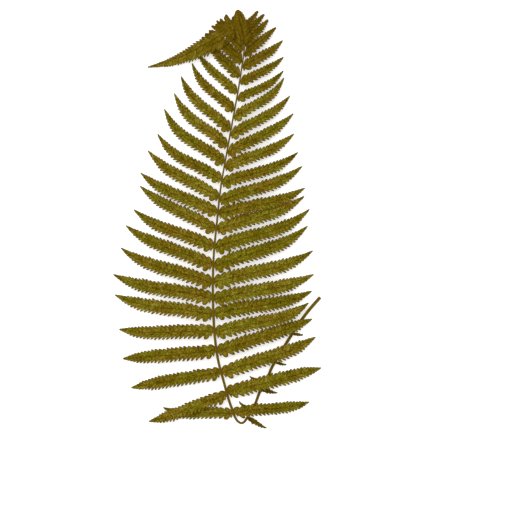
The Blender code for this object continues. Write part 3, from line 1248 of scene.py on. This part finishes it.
def floor_material(stage):
    """Plain pale paper, faintly lit through, with a very fine tooth."""
    material, tree, shader = new_material("pale floor", 0.1)
    shade = [share * FLOOR_TOOTH_SHADE for share in stage.floor_colour]
    tooth = noise(place_in_space(tree), FLOOR_TOOTH_SCALE)
    link_all({"Base Color": mixed(tooth, shade, stage.floor_colour)}, shader)
    shader["Roughness"].default_value = 0.9
    shader["Emission Color"].default_value = (1, 1, 1, 1)
    shader["Emission Strength"].default_value = stage.floor_glow
    return material


# ---------------------------------------------------------------- operators


class FrondOperator:
    """What the frond's operators share: they only need a scene, and can be undone."""

    bl_options = {"REGISTER", "UNDO"}

    def finished(self, pieces):
        """Says what was made, and stops the script if nothing was."""
        if not pieces:
            raise RuntimeError(f"{self.bl_idname} made nothing")
        self.report({"INFO"}, f"{self.bl_label}: {len(pieces)}")
        return {"FINISHED"}


class LeafletOperator(FrondOperator):
    """What the operators that make leaflets share: each has its own list of leaflets."""

    finish = "bracken blade"
    age_shift = 0.0

    def execute(self, context):
        shape = context.scene.bracken_leaflets
        material = leaf_material(self.finish, context.scene.bracken_colours, self.age_shift)
        return self.finished([add_leaflet(leaf, shape, material) for leaf in self.leaves(shape)])


class BRACKEN_OT_stalk(FrondOperator, bpy.types.Operator):
    """Add the grooved stalk with its fold, its curl and its pale cut end"""

    bl_idname = "bracken.stalk"
    bl_label = "Stalk"

    def execute(self, context):
        route = stalk_route(FINE_STEPS_PER_STRETCH)
        fine = FINE_STEPS_PER_STRETCH // STEPS_PER_STRETCH
        heights = [row[0] * MM for row in RIGHT_LEAFLETS + LEFT_LEAFLETS]
        steps = np.array([step_at_height(route[::fine], height) for height in heights]) * fine
        knees = np.interp(steps, np.arange(len(route)), distances(route))
        ring, pattern = with_ends(*stalk_rings(route, context.scene.bracken_stalk, knees))
        points, quads = closed_tube(ring)
        corner_map = sheet_map(len(ring), STALK_SIDES // 2)
        material = stalk_material(context.scene.bracken_colours)
        pattern = pattern.reshape(-1, 3)
        piece = add_piece("frond_stalk", points, quads, corner_map, pattern, (0, 0, 0), material)
        stand_for(piece, "stalk")
        return self.finished([piece])


class BRACKEN_OT_blade_leaflets(LeafletOperator, bpy.types.Operator):
    """Add the lobed leaflets in two rows along the rachis"""

    bl_idname = "bracken.blade_leaflets"
    bl_label = "Blade leaflets"

    def leaves(self, shape):
        return blade_leaflets(shape)


class BRACKEN_OT_stalk_leaflets(LeafletOperator, bpy.types.Operator):
    """Add the small old leaflets on the folded stretch of the stalk"""

    bl_idname = "bracken.stalk_leaflets"
    bl_label = "Stalk leaflets"
    finish = "bracken old blade"
    age_shift = 0.2

    def leaves(self, shape):
        return stalk_leaflets(shape)


class BRACKEN_OT_crown(LeafletOperator, bpy.types.Operator):
    """Add the broad top leaflet and the short leaflets crowded round the curl"""

    bl_idname = "bracken.crown"
    bl_label = "Crown"

    def leaves(self, shape):
        return [top_leaflet(), *crown_leaflets()]


class BRACKEN_OT_blade_tip(LeafletOperator, bpy.types.Operator):
    """Add the long toothed tip of the blade, which hangs from the curl"""

    bl_idname = "bracken.blade_tip"
    bl_label = "Blade tip"

    def leaves(self, shape):
        return [frond_tip()]


class BRACKEN_OT_stage(FrondOperator, bpy.types.Operator):
    """Set up the plain pale floor, the soft light and the camera straight above"""

    bl_idname = "bracken.stage"
    bl_label = "Stage"

    def execute(self, context):
        stage = context.scene.bracken_stage
        low, high = CAD_BOX
        centre = ((low.x + high.x) / 2, (low.y + high.y) / 2)
        floor = add_floor(stage, centre, low.z)
        set_light(stage, centre)
        set_camera(stage, centre)
        context.scene.view_settings.view_transform = "Standard"
        return self.finished([floor])


def add_floor(stage, centre, height):
    """A square floor just under the frond."""
    half = stage.floor_size / 2
    x, y = centre
    corners = [(x - half, y - half), (x + half, y - half), (x + half, y + half), (x - half, y + half)]
    mesh = bpy.data.meshes.new("floor")
    mesh.from_pydata([(*corner, height - FLOOR_GAP) for corner in corners], [], [(0, 1, 2, 3)])
    mesh.materials.append(floor_material(stage))
    floor = bpy.data.objects.new("floor", mesh)
    bpy.context.scene.collection.objects.link(floor)
    return floor


def set_light(stage, centre):
    """Even light from all round, and a large soft lamp overhead."""
    world = bpy.data.worlds.new("even light")
    world.use_nodes = True
    background = world.node_tree.nodes["Background"]
    background.inputs["Color"].default_value = (1, 1, 1, 1)
    background.inputs["Strength"].default_value = stage.sky
    bpy.context.scene.world = world
    lamp = bpy.data.lights.new("soft lamp", "AREA")
    lamp.shape = "SQUARE"
    lamp.size = LAMP_SIZE
    lamp.energy = stage.lamp
    holder = bpy.data.objects.new("soft lamp", lamp)
    holder.location = (centre[0] + LAMP_ASIDE, centre[1] + LAMP_UP, LAMP_HEIGHT)
    holder.rotation_euler = (math.atan2(-LAMP_UP, LAMP_HEIGHT), math.atan2(LAMP_ASIDE, LAMP_HEIGHT), 0)
    bpy.context.scene.collection.objects.link(holder)


def set_camera(stage, centre):
    """A long lens straight above, looking down with the frond's length up the picture."""
    camera = bpy.data.cameras.new("camera")
    camera.lens = stage.camera_lens
    camera.sensor_width = 36
    camera.clip_end = 20
    holder = bpy.data.objects.new("camera", camera)
    holder.location = (centre[0] + CAMERA_ASIDE, centre[1] - CAMERA_DOWN, stage.camera_height)
    bpy.context.scene.collection.objects.link(holder)
    bpy.context.scene.camera = holder


class BRACKEN_PT_panel(bpy.types.Panel):
    """Lists the frond's sizes, its colours and the buttons that build it"""

    bl_idname = "BRACKEN_PT_panel"
    bl_label = "Bracken frond"
    bl_space_type = "VIEW_3D"
    bl_region_type = "UI"
    bl_category = "Bracken"

    def draw(self, context):
        layout = self.layout
        for label in SETTINGS:
            group = getattr(context.scene, label)
            box = layout.box()
            for key in group.__annotations__:
                box.prop(group, key)
        for operator in OPERATORS:
            layout.operator(operator.bl_idname)


SETTINGS = {
    "bracken_leaflets": BrackenLeaflets,
    "bracken_stalk": BrackenStalk,
    "bracken_colours": BrackenColours,
    "bracken_stage": BrackenStage,
}
OPERATORS = (
    BRACKEN_OT_stalk,
    BRACKEN_OT_blade_leaflets,
    BRACKEN_OT_stalk_leaflets,
    BRACKEN_OT_crown,
    BRACKEN_OT_blade_tip,
    BRACKEN_OT_stage,
)
CLASSES = (*SETTINGS.values(), *OPERATORS, BRACKEN_PT_panel)


def register():
    """Registers the classes and hangs the settings on the scene."""
    for item in CLASSES:
        bpy.utils.register_class(item)
    for label, group in SETTINGS.items():
        setattr(bpy.types.Scene, label, PointerProperty(type=group))


def unregister():
    """Takes the settings and the classes away again."""
    for label in SETTINGS:
        delattr(bpy.types.Scene, label)
    for item in reversed(CLASSES):
        bpy.utils.unregister_class(item)


def main():
    """Registers the add-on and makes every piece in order."""
    register()
    bpy.ops.bracken.stalk()
    bpy.ops.bracken.blade_leaflets()
    bpy.ops.bracken.stalk_leaflets()
    bpy.ops.bracken.crown()
    bpy.ops.bracken.blade_tip()
    bpy.ops.bracken.stage()


if __name__ == "__main__":
    main()
